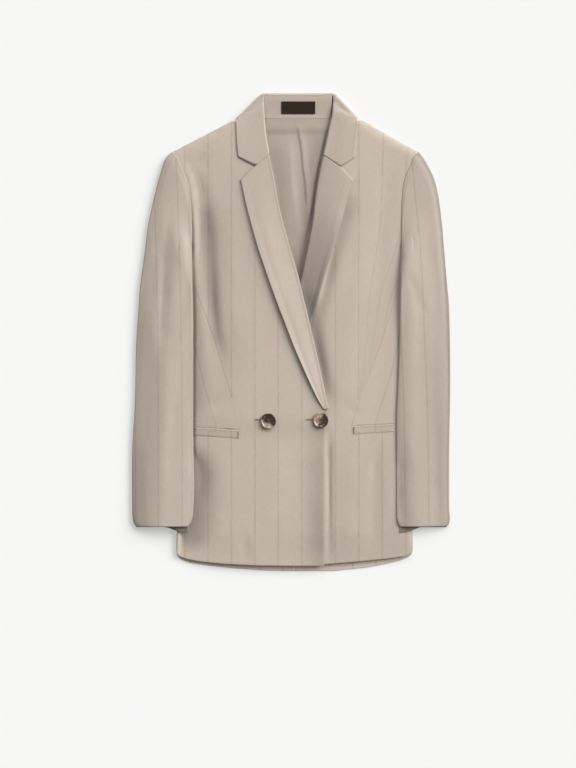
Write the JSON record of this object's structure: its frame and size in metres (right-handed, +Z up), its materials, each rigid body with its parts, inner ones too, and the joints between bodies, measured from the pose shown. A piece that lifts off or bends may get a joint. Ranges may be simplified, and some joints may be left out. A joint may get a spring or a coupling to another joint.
{
  "type": "double breasted blazer",
  "caption": "Long-sleeved double breasted blazer with notched lapels, welt pockets and front buttons, laid flat on its back with the front closed.",
  "frame": {"origin": "centre of the laid-out blazer's outline, on the table it lies on", "axes": "+Y from the hem to the collar, +Z up off the table out of the front, +X towards the wearer's left"},
  "size_m": [0.4928, 0.7401, 0.02],
  "materials": {
    "cloth": "matte pinstriped suiting",
    "inside_cloth": "matte lining",
    "label": "woven satin label, bare",
    "button": "glossy marbled horn look"
  },
  "bodies": {
    "root": {"back_right": "cloth", "back_left": "cloth", "front_right": "cloth", "front_left": "cloth", "sleeve_right_upper": "cloth", "sleeve_right_under": "cloth", "sleeve_left_upper": "cloth", "sleeve_left_under": "cloth", "lapel_right": "cloth", "lapel_left": "cloth", "collar_fall": "cloth", "collar_stand": "cloth", "pocket_right": "cloth", "pocket_left": "cloth", "inner_back": "inside_cloth", "neck_label": "label", "button_outer": "button", "button_inner": "button"}
  },
  "joints": []
}
